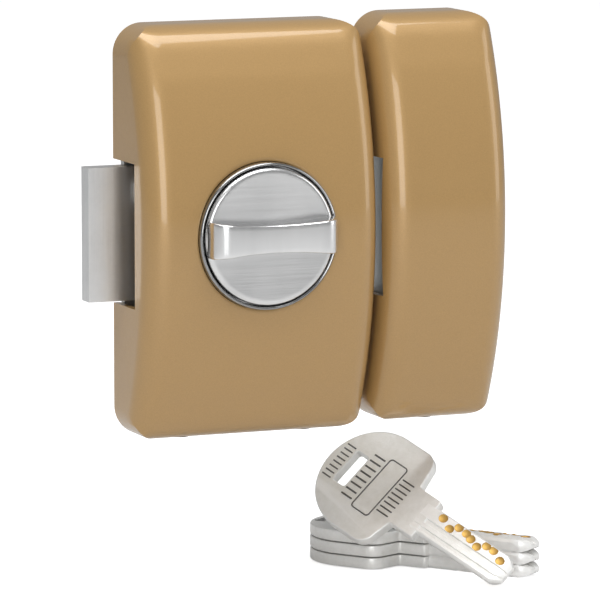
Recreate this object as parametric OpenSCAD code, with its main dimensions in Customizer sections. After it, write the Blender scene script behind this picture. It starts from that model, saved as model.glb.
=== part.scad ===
// Rim bolt lock with thumb turn, outside cylinder, keeper and four keys.
// Origin: axis of the thumb turn, on the inner face of the door (the back of the case).
// -Y points into the room, +Y into the door, +Z up, and the bolt is thrown towards +X.

/* [Case] */
// Width of the case cover
case_w = 56.8; // [50:0.1:70]
// Height of the case cover
case_h = 94; // [86:0.5:120]
// Depth of the case at the middle of its bulged front
case_d = 23; // [22:0.1:28]
// Radius of the bulged front, seen from the side
bulge_r = 110; // [90:1:200]
// Corner radius of the outline, seen from the front
outline_r = 7; // [5:0.1:9]
// Radius of the long rounded edges at the left and right
side_r = 6.2; // [4:0.1:7]
// Radius of the rounded edges at the top and bottom
end_r = 9; // [6:0.1:11]
// Sheet thickness of the covers
wall = 1.6; // [1.2:0.1:2]
// Gap between a cover and the plate inside it
plate_fit = 0.25; // [0.1:0.05:0.5]
// Thickness of the case and keeper back plates
plate_t = 2; // [1.5:0.1:3]

/* [Bolt] */
// Height of the bolt
bolt_h = 30.4; // [24:0.1:34]
// Thickness of the bolt
bolt_t = 4.6; // [3.5:0.1:5.5]
// Length of the tail that stands out of the case when the bolt is drawn back
tail_out = 8.5; // [4:0.1:12]
// Free play all round the bolt
bolt_play = 0.3; // [0.2:0.05:0.5]
// Depth of the notches in the case sides, from the door
notch_d = 13.5; // [12:0.1:15]
// Height of the notches in the case sides
notch_clear = 1.2; // [0.6:0.1:2.8]

/* [Gearing] */
// Teeth on the drive pinion
teeth = 12; // [12:2:16]
// Gear module: pitch diameter over the number of teeth
gear_m = 1; // [0.9:0.05:1]
// Thinning of each tooth, for free running
backlash = 0.12; // [0.08:0.01:0.2]
// Face width of the pinion
gear_w = 3.5; // [3:0.1:4]
// Radius of the pinion's rear journal
journal_r = 4.2; // [3.9:0.1:4.4]
// Radial clearance of every turning fit
run_fit = 0.05; // [0.02:0.01:0.1]

/* [Thumb turn] */
// Radius of the disc of the thumb turn
turn_r = 15.6; // [14:0.1:18]
// How far the disc stands out of the case
turn_proud = 1.8; // [1.2:0.1:4]
// How far the collar round the disc stands out of the case
collar_proud = 1; // [0.6:0.1:2]
// Thickness of the collar's rim
collar_wall = 0.8; // [0.6:0.1:1.5]
// Height of the grip bar above the disc
grip_h = 5.5; // [4:0.1:9]
// Width of the grip bar at its ends
grip_end_w = 8.2; // [7:0.1:10]
// Width of the grip bar at its middle
grip_mid_w = 6.3; // [4:0.1:7.5]
// Radius of the front corners of the grip bar
grip_corner_r = 4; // [2:0.1:4]
// Gap between the disc and the collar
turn_gap = 0.3; // [0.2:0.05:0.6]
// Radius of the neck of the turn in its bush
neck_r = 8.95; // [8:0.05:10]
// Side of the square spindle
spindle_a = 5; // [4:0.1:5.4]

/* [Cylinder] */
// Thickness of the door
door_t = 36; // [34:0.5:48]
// Radius of the cylinder barrel
barrel_r = 11.5; // [11.5:0.1:13]
// Height of the barrel axis above the plug axis
barrel_rise = 3; // [2.5:0.1:4]
// Radius of the cylinder plug
plug_r = 6.5; // [6:0.1:7]
// Number of pin stacks
pin_stacks = 5; // [4:1:5]
// Radius of a lock pin
pin_r = 1.4; // [1.2:0.05:1.5]
// Width of the tail bar
tail_w = 6.2; // [5:0.1:6.6]
// Thickness of the tail bar
tail_t = 1.7; // [1.4:0.1:2]

/* [Keeper] */
// Width of the keeper cover
keeper_w = 31; // [27:0.1:36]
// Gap between the case and the keeper
keeper_gap = 1.4; // [1:0.1:4]
// Height of the keeper above the case, from its fitting
keeper_rise = 0.9; // [0:0.1:1]
// Depth of the slot in the keeper's side, from the frame
slot_d = 18; // [17:0.1:19]
// Height of the slot in the keeper's side
slot_h = 31.6; // [31.2:0.1:34]

/* [Keys] */
// Overall length of a key
key_l = 58.5; // [54:0.1:64]
// Width of the key bow
bow_w = 27; // [24:0.1:29]
// Thickness of a key
key_t = 2.9; // [2.2:0.1:3]
// Width of the key blade
blade_w = 7.6; // [7:0.1:8]
// Height of the surface under the keys, below the turn's axis
pile_z = -82.7; // [-95:0.1:-75]

/* [Hidden] */
$fn = 96;
eps = 0.01;
cut = 1;

// Colours
PAINT = [0.68, 0.55, 0.36];
NICKEL = [0.86, 0.87, 0.87];
STEEL = [0.62, 0.63, 0.64];
ZINC = [0.7, 0.71, 0.7];
BRASS = [0.78, 0.66, 0.36];

// Places in depth, from the door (0) to the room (negative)
bolt_back = -(plate_t + bolt_play);
bolt_front = bolt_back - bolt_t;
gear_back = bolt_front - bolt_play;
gear_front = gear_back - gear_w;
boss_len = 3.8;
boss_front = gear_front - boss_len;
rim_front = -(case_d + turn_proud);
floor_front = -(case_d - 3);
floor_t = 1.4;
floor_back = floor_front + floor_t;
flange_t = 0.9;
disc_back = floor_front - flange_t - 0.2;
grip_front = rim_front - grip_h;

// Screws and rivets
m3_r = 1.45;
m3_head_r = 2.7;
m3_head_t = 1.6;
screw_slot_w = 0.8;
screw_slot_d = 0.7;
screw_fit = 0.05;
door_hole_r = 2.3;
door_holes_x = 38;
door_holes_z = 72;
keeper_holes_z = 72;
cyl_screw_x = 8.6;
cyl_screw_z = 4;
cyl_screw_r = 1.7;
csk_r = 3.1;
csk_t = 1.5;
cover_screw_x = 15;
sink_t = 1.3;
head_sunk = 0.05;
cover_screw_y = -6;
notch_h = bolt_h + 2 * notch_clear;
lip_t = 1.6;
lip_len = 8.4;

// Gear: 25 degree teeth, so that a 12 tooth pinion runs without undercut
pressure = 25;
pitch_r = gear_m * teeth / 2;
base_r = pitch_r * cos(pressure);
addendum = 0.85 * gear_m;
dedendum = 1.1 * gear_m;
tip_r = pitch_r + addendum;
root_r = pitch_r - dedendum;
pitch = PI * gear_m;
tooth_w = pitch / 2 - backlash;
// The bolt travels half a turn of the pinion
throw = PI * pitch_r;
rack_teeth_left = teeth / 2 + 2;
rack_top = 11.4 + pitch_r - 6;

// Bolt
bolt_tail = -(case_w / 2 + tail_out);
bolt_lead = case_w / 2;
slot_r = journal_r + 0.4;
detent_x = throw / 2;
detent_depth = 1;
detent_half = 1.2;
rivet_r = 1.2;

// Guides
guide_t = 1.5;
guide_lip = 2.8;
guide_foot = 6.5;
guide_half = 22;
guide_z = bolt_h / 2 + bolt_play;
guide_rivet_z = guide_z + 4.2;
rivet_head_r = 2.4;
rivet_head_t = 1;
lower_left = [-22, -9];
lower_right = [16.5, 23.5];
lower_rivets_x = [-15.5, 20];
upper_rivets_x = [-16, 16];

// Pocket of the turn in the cover
collar_in = turn_r + turn_gap;
collar_r = collar_in + collar_wall;
collar_front = -(case_d + collar_proud);
pocket_r = collar_r + 0.05;
bush_r = neck_r + run_fit + 1.5;
clip_t = 1;
clip_w = 1.9;
clip_depth = 0.9;
neck_back = floor_back + 2.9;
clip_front = floor_back + 1.1;

// Cylinder, measured from the inner face of the door
plug_in = 2.2;
barrel_in = 5;
barrel_out = door_t;
ring_t = 2.4;
ring_r = barrel_r + 1.6;
plug_head_r = plug_r + 0.9;
plug_head_t = 1.4;
plug_out = barrel_out + ring_t;
pin_pitch = 5;
first_pin = 13;
keyway_in = 9.5;
keyway_w = blade_w + 0.6;
keyway_h = key_t + 0.25;
keyway_gap = 0.15;
shear_gap = 0.06;
driver_len = 3.5;
cap_t = 0.8;
clip_groove = 3.5;

// Keeper
keeper_x = case_w / 2 + keeper_gap + keeper_w / 2;
keeper_flange_t = 2;
window_h = bolt_h + 1.2;

// Keys
bow_r = bow_w / 2;
neck_x = 25.2;
collar_x = 32.5;
collar_half = 5.5;
shoulder_r = 4;
shoulder_x = 20.5;
tip_len = 2.2;
tip_half = 2.2;
bow_slot = [3.7, 9.2];
bow_slot_x = 7.1;
groove_w = 1.1;
groove_d = 0.5;
stack_gap = 0.02;
stack_x = 32.6;
stack_y = 25.4;
stack_turn = -53.8;
lean_pos = [32.6, 17.35, -58.57];
lean_turn = [47.13, 21.44, -65.26];

function involute(a) = tan(a) - a * PI / 180;
function half_tooth(r) = (tooth_w / 2 / pitch_r + involute(pressure) - involute(acos(base_r / r))) * 180 / PI;
function polar(r, a) = [r * cos(a), r * sin(a)];
function arc(c, r, a0, a1, n) = [for (i = [0:n]) c + polar(r, a0 + (a1 - a0) * i / n)];
function flank_r(i, n) = base_r + (tip_r - base_r) * i / n;

// Round bar along Y from y0 to y1
module ycyl(r, y0, y1, x = 0, z = 0) {
    translate([x, y0, z]) rotate([-90, 0, 0]) cylinder(r = r, h = y1 - y0);
}

// Flat shape in the X-Z plane, made solid from y0 to y1
module xz(y0, y1) {
    translate([0, y1, 0]) rotate([90, 0, 0]) linear_extrude(y1 - y0) children();
}

// Shape turned round the Y axis: radius across, distance into the room up
module turned() {
    rotate([90, 0, 0]) rotate_extrude() children();
}

// Box between two corners
module block(a, b) {
    translate(a) cube(b - a);
}

module rounded_rect(w, h, r) {
    square([w - 2 * r, h], center = true);
    square([w, h - 2 * r], center = true);
    for (x = [-1, 1], z = [-1, 1]) translate([x * (w / 2 - r), z * (h / 2 - r)]) circle(r);
}

// Side view of a cover: distance into the room across, height up. The hollow has flats for its curves
module side_profile(inset) {
    r = end_r - inset;
    top = case_h / 2 - inset;
    front = bulge_r - inset;
    centre = [case_d - bulge_r, 0];
    zc = top - r;
    xc = centre[0] + sqrt(pow(front - r, 2) - zc * zc);
    lean = atan2(zc, xc - centre[0]);
    if (inset > 0) {
        difference() {
            intersection() {
                translate(centre) circle(front, $fn = 360);
                translate([-2 * cut, -top]) square([case_d + 2 * cut, 2 * top]);
            }
            for (s = [-1, 1]) translate([xc, s * zc]) rotate(s * (lean + 90) / 2)
                translate([r, -2 * r]) square([4 * r, 4 * r]);
        }
    } else {
        intersection() {
            translate(centre) circle(front, $fn = 360);
            polygon([centre + polar(front / 2, -lean), centre + polar(2 * front, -lean),
                centre + polar(2 * front, lean), centre + polar(front / 2, lean)]);
        }
        polygon([[-cut, -top], [xc, -top], [xc, -zc], centre + polar(front, -lean),
            centre + polar(front, lean), [xc, zc], [xc, top], [-cut, top]]);
        for (s = [-1, 1]) translate([xc, s * zc]) circle(r);
    }
}

// Half section of the ring whose rounded rim makes the front and its long edges
module front_profile(w, inset) {
    r = side_r - inset;
    half = w / 2 - inset;
    outer = bulge_r - inset;
    inner = bulge_r - 60;
    if (inset > 0) {
        difference() {
            translate([inner, -half]) square([outer - inner, 2 * half]);
            for (s = [-1, 1]) translate([outer - r, s * (half - r)]) rotate(s * 45)
                translate([r, -2 * r]) square([4 * r, 4 * r]);
        }
    } else {
        translate([inner, -half]) square([outer - r - inner, 2 * half]);
        translate([inner, -half + r]) square([outer - inner, 2 * (half - r)]);
        for (s = [-1, 1]) translate([outer - r, s * (half - r)]) circle(r);
    }
}

// Solid body of a cover, w wide, with its back on the door
module cover_body(w, inset) {
    intersection() {
        xz(-case_d - cut, inset > 0 ? cut : 0)
            rounded_rect(w - 2 * inset, case_h - 2 * inset, outline_r - inset);
        translate([0, bulge_r - case_d, 0]) rotate([0, 90, 0])
            rotate_extrude($fn = 360) front_profile(w, inset);
        rotate([90, 0, -90]) linear_extrude(w + 2 * cut, center = true) side_profile(inset);
    }
}

module cover_shell(w) {
    difference() {
        cover_body(w, 0);
        cover_body(w, wall);
    }
}

// Hole in the bottom wall of a cover for a fixing screw
module bottom_hole(x, r) {
    translate([x, cover_screw_y, -case_h / 2 - cut]) cylinder(r = r, h = lip_t + wall + 2 * cut);
}

// Countersink in the bottom wall of a cover, for the head of the same screw
module bottom_sink(x) {
    translate([x, cover_screw_y, -case_h / 2 - eps])
        cylinder(r1 = m3_head_r + screw_fit, r2 = m3_r + screw_fit, h = sink_t);
}

// Countersunk screw that comes up through the bottom wall
module bottom_screw(x) {
    translate([x, cover_screw_y, -case_h / 2]) difference() {
        union() {
            translate([0, 0, head_sunk]) cylinder(r1 = m3_head_r - 0.1, r2 = m3_r, h = sink_t - head_sunk);
            translate([0, 0, sink_t - eps]) cylinder(r = m3_r, h = 5 - sink_t);
        }
        translate([-m3_head_r - cut, -screw_slot_w / 2, head_sunk - cut])
            cube([2 * (m3_head_r + cut), screw_slot_w, screw_slot_d + cut]);
    }
}

module case_cover() {
    color(PAINT) difference() {
        union() {
            cover_shell(case_w);
            intersection() {
                cover_body(case_w, 0);
                ycyl(pocket_r + wall, -case_d, floor_back);
            }
        }
        ycyl(pocket_r, -case_d - cut, floor_front);
        ycyl(bush_r + screw_fit, floor_front - cut, floor_back + cut);
        block([-case_w / 2 - cut, -notch_d, -notch_h / 2], [case_w / 2 + cut, cut, notch_h / 2]);
        for (x = [-1, 1]) {
            bottom_hole(x * cover_screw_x, m3_r + 0.15);
            bottom_sink(x * cover_screw_x);
        }
    }
}

// Pressed plate that closes the back of a cover, with a lip for its screws and a tongue
module back_sheet(w, tongue_w) {
    sheet_w = w - 2 * (wall + plate_fit);
    sheet_h = case_h - 2 * (wall + plate_fit);
    xz(-plate_t, 0) rounded_rect(sheet_w, sheet_h, outline_r - wall - plate_fit);
    lip_w = sheet_w - 2 * (outline_r - wall);
    block([-lip_w / 2, -lip_len, -sheet_h / 2], [lip_w / 2, -plate_t + eps, -sheet_h / 2 + lip_t]);
    block([-tongue_w / 2, -lip_len + 2, sheet_h / 2 - lip_t], [tongue_w / 2, -plate_t + eps, sheet_h / 2]);
}

module backplate() {
    color(ZINC) difference() {
        back_sheet(case_w, 30);
        ycyl(journal_r + 1.4 + screw_fit, -plate_t - cut, cut);
        for (x = [-1, 1], z = [-1, 1])
            ycyl(door_hole_r, -plate_t - cut, cut, x * door_holes_x / 2, z * door_holes_z / 2);
        for (s = [-1, 1]) {
            ycyl(cyl_screw_r + 0.1, -plate_t - cut, cut, s * cyl_screw_x, cyl_screw_z);
            translate([s * cyl_screw_x, -plate_t, cyl_screw_z]) rotate([-90, 0, 0])
                cylinder(r1 = csk_r + screw_fit, r2 = cyl_screw_r + 0.1, h = csk_t);
            bottom_hole(s * cover_screw_x, m3_r + screw_fit);
        }
        for (x = upper_rivets_x) ycyl(rivet_r + screw_fit, -plate_t - cut, cut, x, guide_rivet_z);
        for (x = lower_rivets_x) ycyl(rivet_r + screw_fit, -plate_t - cut, cut, x, -guide_rivet_z);
        ycyl(m3_r + screw_fit, -plate_t - cut, cut, detent_foot_x, detent_foot_z);
    }
}

// Flat bar with a slot for the hub of the pinion and two detent notches in its lower edge
module bolt() {
    color(STEEL) xz(bolt_front, bolt_back) difference() {
        translate([bolt_tail, -bolt_h / 2]) square([bolt_lead - bolt_tail, bolt_h]);
        translate([-throw, -slot_r]) square([throw, 2 * slot_r]);
        for (x = [-throw, 0]) translate([x, 0]) circle(slot_r);
        for (x = rack_rivets_x) translate([x, rack_rivet_z]) circle(rivet_r + screw_fit);
        for (x = [detent_x, detent_x - throw]) translate([x, -bolt_h / 2])
            polygon([[-detent_half, -cut], [-detent_half, 0], [0, detent_depth], [detent_half, 0],
                [detent_half, -cut]]);
    }
}

rack_root = pitch_r + dedendum;
rack_rivet_z = (rack_root + rack_top) / 2;
rack_left = -(rack_teeth_left) * pitch;
rack_right = 2 * pitch;
rack_rivets_x = [rack_left + 3.2, rack_right - 3.2];

module bolt_rack() {
    tip_half = tooth_w / 2 - addendum * tan(pressure);
    root_half = tooth_w / 2 + dedendum * tan(pressure);
    color(STEEL) xz(bolt_front - gear_w, bolt_front) difference() {
        union() {
            translate([rack_left, rack_root]) square([rack_right - rack_left, rack_top - rack_root]);
            for (i = [-rack_teeth_left:1]) translate([(i + 0.5) * pitch, 0])
                polygon([[-tip_half, pitch_r - addendum], [tip_half, pitch_r - addendum],
                    [root_half, rack_root], [root_half, rack_root + eps], [-root_half, rack_root + eps],
                    [-root_half, rack_root]]);
        }
        for (x = rack_rivets_x) translate([x, rack_rivet_z]) circle(rivet_r + screw_fit);
    }
}

module rack_rivets() {
    color(ZINC) for (x = rack_rivets_x)
        ycyl(rivet_r, bolt_front - gear_w, bolt_back, x, rack_rivet_z);
}

// Angle rail over one edge of the bolt, from x0 to x1, for its upper edge
module guide(x0, x1, rivets) {
    difference() {
        union() {
            block([x0, -plate_t - guide_t, guide_z], [x1, -plate_t, guide_z + guide_foot]);
            block([x0, bolt_front - bolt_play - guide_t, guide_z], [x1, -plate_t, guide_z + guide_t]);
            block([x0, bolt_front - bolt_play - guide_t, guide_z - guide_lip],
                [x1, bolt_front - bolt_play, guide_z + guide_t]);
        }
        for (x = rivets) ycyl(rivet_r + screw_fit, -plate_t - guide_t - cut, 0, x, guide_rivet_z);
    }
}

module upper_guide() {
    color(ZINC) guide(-guide_half, guide_half, upper_rivets_x);
}

module lower_guides() {
    color(ZINC) mirror([0, 0, 1]) {
        guide(lower_left[0], lower_left[1], [lower_rivets_x[0]]);
        guide(lower_right[0], lower_right[1], [lower_rivets_x[1]]);
    }
}

module guide_rivet(x, z) {
    ycyl(rivet_r, -plate_t - guide_t - eps, 0, x, z);
    ycyl(rivet_head_r, -plate_t - guide_t - rivet_head_t, -plate_t - guide_t, x, z);
}

module guide_rivets() {
    color(ZINC) {
        for (x = upper_rivets_x) guide_rivet(x, guide_rivet_z);
        for (x = lower_rivets_x) guide_rivet(x, -guide_rivet_z);
    }
}

module gear_outline() {
    n = 5;
    polygon([for (k = [0:teeth - 1]) let (a = 90 + k * 360 / teeth) each concat(
        [polar(root_r, a - half_tooth(base_r) - 0.01)],
        [for (i = [0:n]) polar(flank_r(i, n), a - half_tooth(flank_r(i, n)))],
        [for (i = [n:-1:0]) polar(flank_r(i, n), a + half_tooth(flank_r(i, n)))],
        [polar(root_r, a + half_tooth(base_r) + 0.01)])]);
}

module drive_pinion() {
    socket = spindle_a + 0.1;
    color(BRASS) difference() {
        union() {
            xz(gear_front, gear_back) gear_outline();
            ycyl(root_r, boss_front, gear_front + eps);
            ycyl(journal_r, gear_back - eps, 0.8);
        }
        block([-socket / 2, boss_front - cut, -socket / 2], [socket / 2, gear_back - 1.2, socket / 2]);
        block([-tail_w / 2 - 0.1, gear_back + 1.2, -tail_t / 2 - 0.1], [tail_w / 2 + 0.1, cut, tail_t / 2 + 0.1]);
    }
}

// Flanged bush in the back plate that carries the pinion's rear journal
module hub_bush() {
    color(BRASS) difference() {
        union() {
            ycyl(journal_r + 1.4, -plate_t, eps);
            ycyl(journal_r + 2.8, 0, 1);
        }
        ycyl(journal_r + run_fit, -plate_t - cut, 1 + cut);
    }
}

// Section of the round body of the turn: radius across, distance into the room up
module turn_section() {
    rim = -rim_front;
    polygon([[0, -disc_back], [turn_r, -disc_back], [turn_r, rim - 1.1], [turn_r - 0.4, rim - 0.4],
        [turn_r - 1.1, rim], [0, rim]]);
}

// Grip bar: waisted seen from the front, dished along its front, rounded at its ends
module grip_bar() {
    waist = (grip_end_w - grip_mid_w) / 2;
    waist_r = (turn_r * turn_r + waist * waist) / (2 * waist);
    dip = 1;
    reach = turn_r - 0.4;
    flat = reach - grip_corner_r;
    dip_r = (flat * flat + dip * dip) / (2 * dip);
    base = rim_front + 1;
    intersection() {
        xz(grip_front, base) difference() {
            square([2 * turn_r, grip_end_w], center = true);
            for (s = [-1, 1]) translate([0, s * (grip_mid_w / 2 + waist_r)]) circle(waist_r, $fn = 360);
        }
        rotate([0, 0, 180]) linear_extrude(grip_end_w + cut, center = true) difference() {
            union() {
                translate([-reach, -base]) square([2 * reach, base - grip_front - grip_corner_r]);
                translate([-flat, -base]) square([2 * flat, base - grip_front]);
                for (s = [-1, 1]) translate([s * flat, -grip_front - grip_corner_r]) circle(grip_corner_r);
            }
            translate([0, -grip_front - dip + dip_r]) circle(dip_r, $fn = 360);
        }
        ycyl(turn_r, grip_front - cut, base + cut);
    }
}

module thumb_turn() {
    socket = spindle_a + 0.04;
    color(NICKEL) difference() {
        union() {
            turned() turn_section();
            ycyl(neck_r, disc_back - eps, neck_back);
            grip_bar();
        }
        block([-socket / 2, disc_back - 2, -socket / 2], [socket / 2, neck_back + cut, socket / 2]);
        difference() {
            ycyl(neck_r + cut, clip_front, clip_front + clip_t + 0.1);
            ycyl(neck_r - clip_depth, clip_front - cut, clip_front + clip_t + cut);
        }
    }
}

// Collar of the turn: a rim round the disc, a floor, and the bush for the neck
module turn_collar() {
    color(NICKEL) difference() {
        union() {
            ycyl(bush_r, floor_front - eps, floor_back + 1);
            ycyl(collar_r, collar_front, floor_front);
        }
        ycyl(collar_in, collar_front - cut, floor_front - flange_t);
        ycyl(neck_r + run_fit, floor_front - flange_t - cut, floor_back + 1 + cut);
    }
}

// Open ring in the groove behind a bearing
module circlip(inner, y0, t) {
    difference() {
        ycyl(inner + clip_w, y0, y0 + t);
        ycyl(inner, y0 - cut, y0 + t + cut);
        block([-inner * 0.4, y0 - cut, -inner - clip_w - cut], [inner * 0.4, y0 + t + cut, 0]);
    }
}

module turn_circlip() {
    color(STEEL) circlip(neck_r - clip_depth + 0.02, clip_front + 0.05, clip_t);
}

module spindle() {
    h = spindle_a / 2;
    color(STEEL) block([-h, disc_back - 1.95, -h], [h, gear_back - 1.5, h]);
}

detent_foot_x = -2;
detent_foot_z = -(bolt_h / 2 + 6);
spring_t = 0.5;
spring_top = -(bolt_h / 2 + 1);

// Leaf spring with a nose that drops into the notches of the bolt
module detent_spring() {
    nose = -(bolt_h / 2) + detent_depth - 0.3;
    path = [[-6, spring_top - 0.6], [detent_x - 1.7, spring_top], [detent_x, nose],
        [detent_x + 1.7, spring_top], [detent_x + 3.4, spring_top - 0.5]];
    back = [for (i = [len(path) - 1:-1:0]) path[i] - [0, spring_t]];
    color(STEEL) difference() {
        union() {
            xz(bolt_front + 0.5, -plate_t) polygon(concat(path, back));
            block([-6, -plate_t - spring_t, detent_foot_z - 3], [2, -plate_t, spring_top - 0.8]);
        }
        ycyl(m3_r + screw_fit, -plate_t - spring_t - cut, 0, detent_foot_x, detent_foot_z);
    }
}

module detent_screw() {
    color(ZINC) difference() {
        union() {
            ycyl(m3_r, -plate_t - spring_t - eps, -0.1, detent_foot_x, detent_foot_z);
            ycyl(m3_head_r, -plate_t - spring_t - m3_head_t, -plate_t - spring_t, detent_foot_x, detent_foot_z);
        }
        block([detent_foot_x - m3_head_r, -plate_t - spring_t - m3_head_t - cut, detent_foot_z - screw_slot_w / 2],
            [detent_foot_x + m3_head_r, -plate_t - spring_t - m3_head_t + screw_slot_d,
                detent_foot_z + screw_slot_w / 2]);
    }
}

module cover_screws() {
    color(NICKEL) for (x = [-1, 1]) bottom_screw(x * cover_screw_x);
}

// Countersunk screws that draw the cylinder to the back plate
module cylinder_screws() {
    color(ZINC) for (s = [-1, 1]) difference() {
        union() {
            translate([s * cyl_screw_x, -plate_t, cyl_screw_z]) rotate([-90, 0, 0])
                cylinder(r1 = csk_r, r2 = cyl_screw_r, h = csk_t);
            ycyl(cyl_screw_r, -plate_t + csk_t - eps, 19, s * cyl_screw_x, cyl_screw_z);
        }
        block([s * cyl_screw_x - csk_r, -plate_t - cut, cyl_screw_z - screw_slot_w / 2],
            [s * cyl_screw_x + csk_r, -plate_t + screw_slot_d, cyl_screw_z + screw_slot_w / 2]);
    }
}

// Pin chamber k, from height z0 to z1
module chamber(k, r, z0, z1) {
    translate([0, first_pin + k * pin_pitch, z0]) cylinder(r = r, h = z1 - z0);
}

module each_chamber() {
    for (k = [0:pin_stacks - 1]) translate([0, first_pin + k * pin_pitch, 0]) children();
}

module rod(r, z0, z1) {
    translate([0, 0, z0]) cylinder(r = r, h = z1 - z0);
}

barrel_top = barrel_rise + barrel_r;
cap_z = barrel_top - 1 - cap_t;

module cylinder_body() {
    color(BRASS) difference() {
        ycyl(barrel_r, barrel_in, barrel_out, 0, barrel_rise);
        ycyl(plug_r + run_fit, barrel_in - cut, barrel_out + cut);
        each_chamber() rod(pin_r + run_fit, 0, barrel_top + cut);
        for (s = [-1, 1])
            ycyl(cyl_screw_r + screw_fit, barrel_in - cut, 20, s * cyl_screw_x, cyl_screw_z);
    }
}

module cylinder_plug() {
    color(NICKEL) difference() {
        union() {
            ycyl(plug_r, plug_in, plug_out - plug_head_t + eps);
            ycyl(plug_head_r, plug_out - plug_head_t, plug_out);
        }
        block([-keyway_w / 2, keyway_in, -keyway_h / 2], [keyway_w / 2, plug_out + cut, keyway_h / 2]);
        block([-tail_w / 2 - 0.05, plug_in - cut, -tail_t / 2 - 0.05],
            [tail_w / 2 + 0.05, plug_in + 5, tail_t / 2 + 0.05]);
        each_chamber() rod(pin_r + run_fit, 0, plug_r + cut);
        difference() {
            ycyl(plug_r + cut, clip_groove, clip_groove + clip_t + 0.1);
            ycyl(plug_r - clip_depth, clip_groove - cut, clip_groove + clip_t + cut);
        }
    }
}

module key_pins() {
    point = 0.9;
    low = keyway_h / 2 + keyway_gap;
    color(BRASS) each_chamber() {
        rod(pin_r, low + point - eps, sqrt(plug_r * plug_r - pin_r * pin_r) - shear_gap / 2);
        translate([0, 0, low]) cylinder(r1 = 0.4, r2 = pin_r, h = point);
    }
}

module driver_pins() {
    color(STEEL) each_chamber() rod(pin_r, plug_r + run_fit + shear_gap, plug_r + driver_len);
}

module pin_springs() {
    color(ZINC) each_chamber() difference() {
        rod(pin_r - 0.1, plug_r + driver_len, cap_z);
        rod(pin_r - 0.5, plug_r + driver_len - cut, cap_z + cut);
    }
}

module chamber_caps() {
    color(BRASS) each_chamber() rod(pin_r + run_fit - 0.02, cap_z, cap_z + cap_t);
}

module plug_circlip() {
    color(STEEL) circlip(plug_r - clip_depth + 0.02, clip_groove + 0.05, clip_t);
}

module tail_bar() {
    color(STEEL) block([-tail_w / 2, gear_back + 1.4, -tail_t / 2], [tail_w / 2, plug_in + 4.95, tail_t / 2]);
}

// Collar that seats the cylinder on the outside of the door
module outside_ring() {
    color(NICKEL) difference() {
        ycyl(ring_r, barrel_out, barrel_out + ring_t, 0, barrel_rise);
        ycyl(plug_head_r + run_fit, barrel_out - cut, barrel_out + ring_t + cut);
    }
}

module keeper_cover() {
    color(PAINT) translate([keeper_x, 0, keeper_rise]) difference() {
        cover_shell(keeper_w);
        block([-keeper_w / 2 - cut, -slot_d, -slot_h / 2 - keeper_rise],
            [-keeper_w / 2 + side_r, cut, slot_h / 2 - keeper_rise]);
        bottom_hole(0, m3_r + 0.15);
        bottom_sink(0);
    }
}

// Back plate of the keeper with the strike flange that the bolt passes
module keeper_plate() {
    inner = -keeper_w / 2 + wall + plate_fit;
    color(ZINC) translate([keeper_x, 0, keeper_rise]) difference() {
        union() {
            back_sheet(keeper_w, 12);
            block([inner, -slot_d + 2.2, -notch_h / 2 - 6], [inner + keeper_flange_t, -plate_t + eps, notch_h / 2 + 6]);
        }
        block([inner - cut, bolt_front - 0.9, -window_h / 2 - keeper_rise],
            [inner + keeper_flange_t + cut, bolt_back + bolt_play, window_h / 2 - keeper_rise]);
        for (z = [-1, 1]) ycyl(door_hole_r, -plate_t - cut, cut, 2, z * keeper_holes_z / 2);
        bottom_hole(0, m3_r + screw_fit);
    }
}

module keeper_screw() {
    color(NICKEL) translate([keeper_x, 0, keeper_rise]) bottom_screw(0);
}

// Outline of a key: the bow starts at 0 and the blade points along +X
module key_outline() {
    difference() {
        union() {
            intersection() {
                translate([bow_r, 0]) circle(bow_r);
                translate([0, -bow_r]) square([bow_r + eps, bow_w]);
            }
            polygon(concat([[bow_r, bow_r], [bow_r, -bow_r]],
                arc([shoulder_x, -bow_r + shoulder_r], shoulder_r, -90, -20, 8),
                [[neck_x, -collar_half], [neck_x, collar_half]],
                arc([shoulder_x, bow_r - shoulder_r], shoulder_r, 20, 90, 8)));
        }
        translate([bow_slot_x, 0]) square(bow_slot, center = true);
    }
    translate([neck_x - eps, -collar_half]) square([collar_x - neck_x, 2 * collar_half]);
    polygon([[collar_x - 1, -blade_w / 2], [key_l - tip_len, -blade_w / 2], [key_l, -tip_half],
        [key_l, tip_half], [key_l - tip_len, blade_w / 2], [collar_x - 1, blade_w / 2]]);
}

// One key, lying flat with its underside at z = 0
module key() {
    color(NICKEL) difference() {
        linear_extrude(key_t) key_outline();
        for (z = [-cut, key_t - groove_d]) translate([collar_x + 1, -groove_w * 1.6, z])
            cube([key_l, groove_w, cut + groove_d]);
    }
}

module stacked_key(k) {
    translate([stack_x, stack_y, pile_z + k * (key_t + stack_gap)]) rotate([0, 0, stack_turn]) key();
}

module key_1() {
    stacked_key(0);
}

module key_2() {
    stacked_key(1);
}

module key_3() {
    stacked_key(2);
}

module key_4() {
    translate(lean_pos) rotate(lean_turn) translate([0, 0, -key_t / 2]) key();
}

case_cover();
backplate();
bolt();
bolt_rack();
rack_rivets();
upper_guide();
lower_guides();
guide_rivets();
drive_pinion();
hub_bush();
thumb_turn();
turn_collar();
turn_circlip();
spindle();
detent_spring();
detent_screw();
cover_screws();
cylinder_screws();
cylinder_body();
cylinder_plug();
key_pins();
driver_pins();
pin_springs();
chamber_caps();
plug_circlip();
tail_bar();
outside_ring();
keeper_cover();
keeper_plate();
keeper_screw();
key_1();
key_2();
key_3();
key_4();
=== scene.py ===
import math

import bmesh
import bpy
from mathutils import Euler, Matrix, Vector


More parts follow.
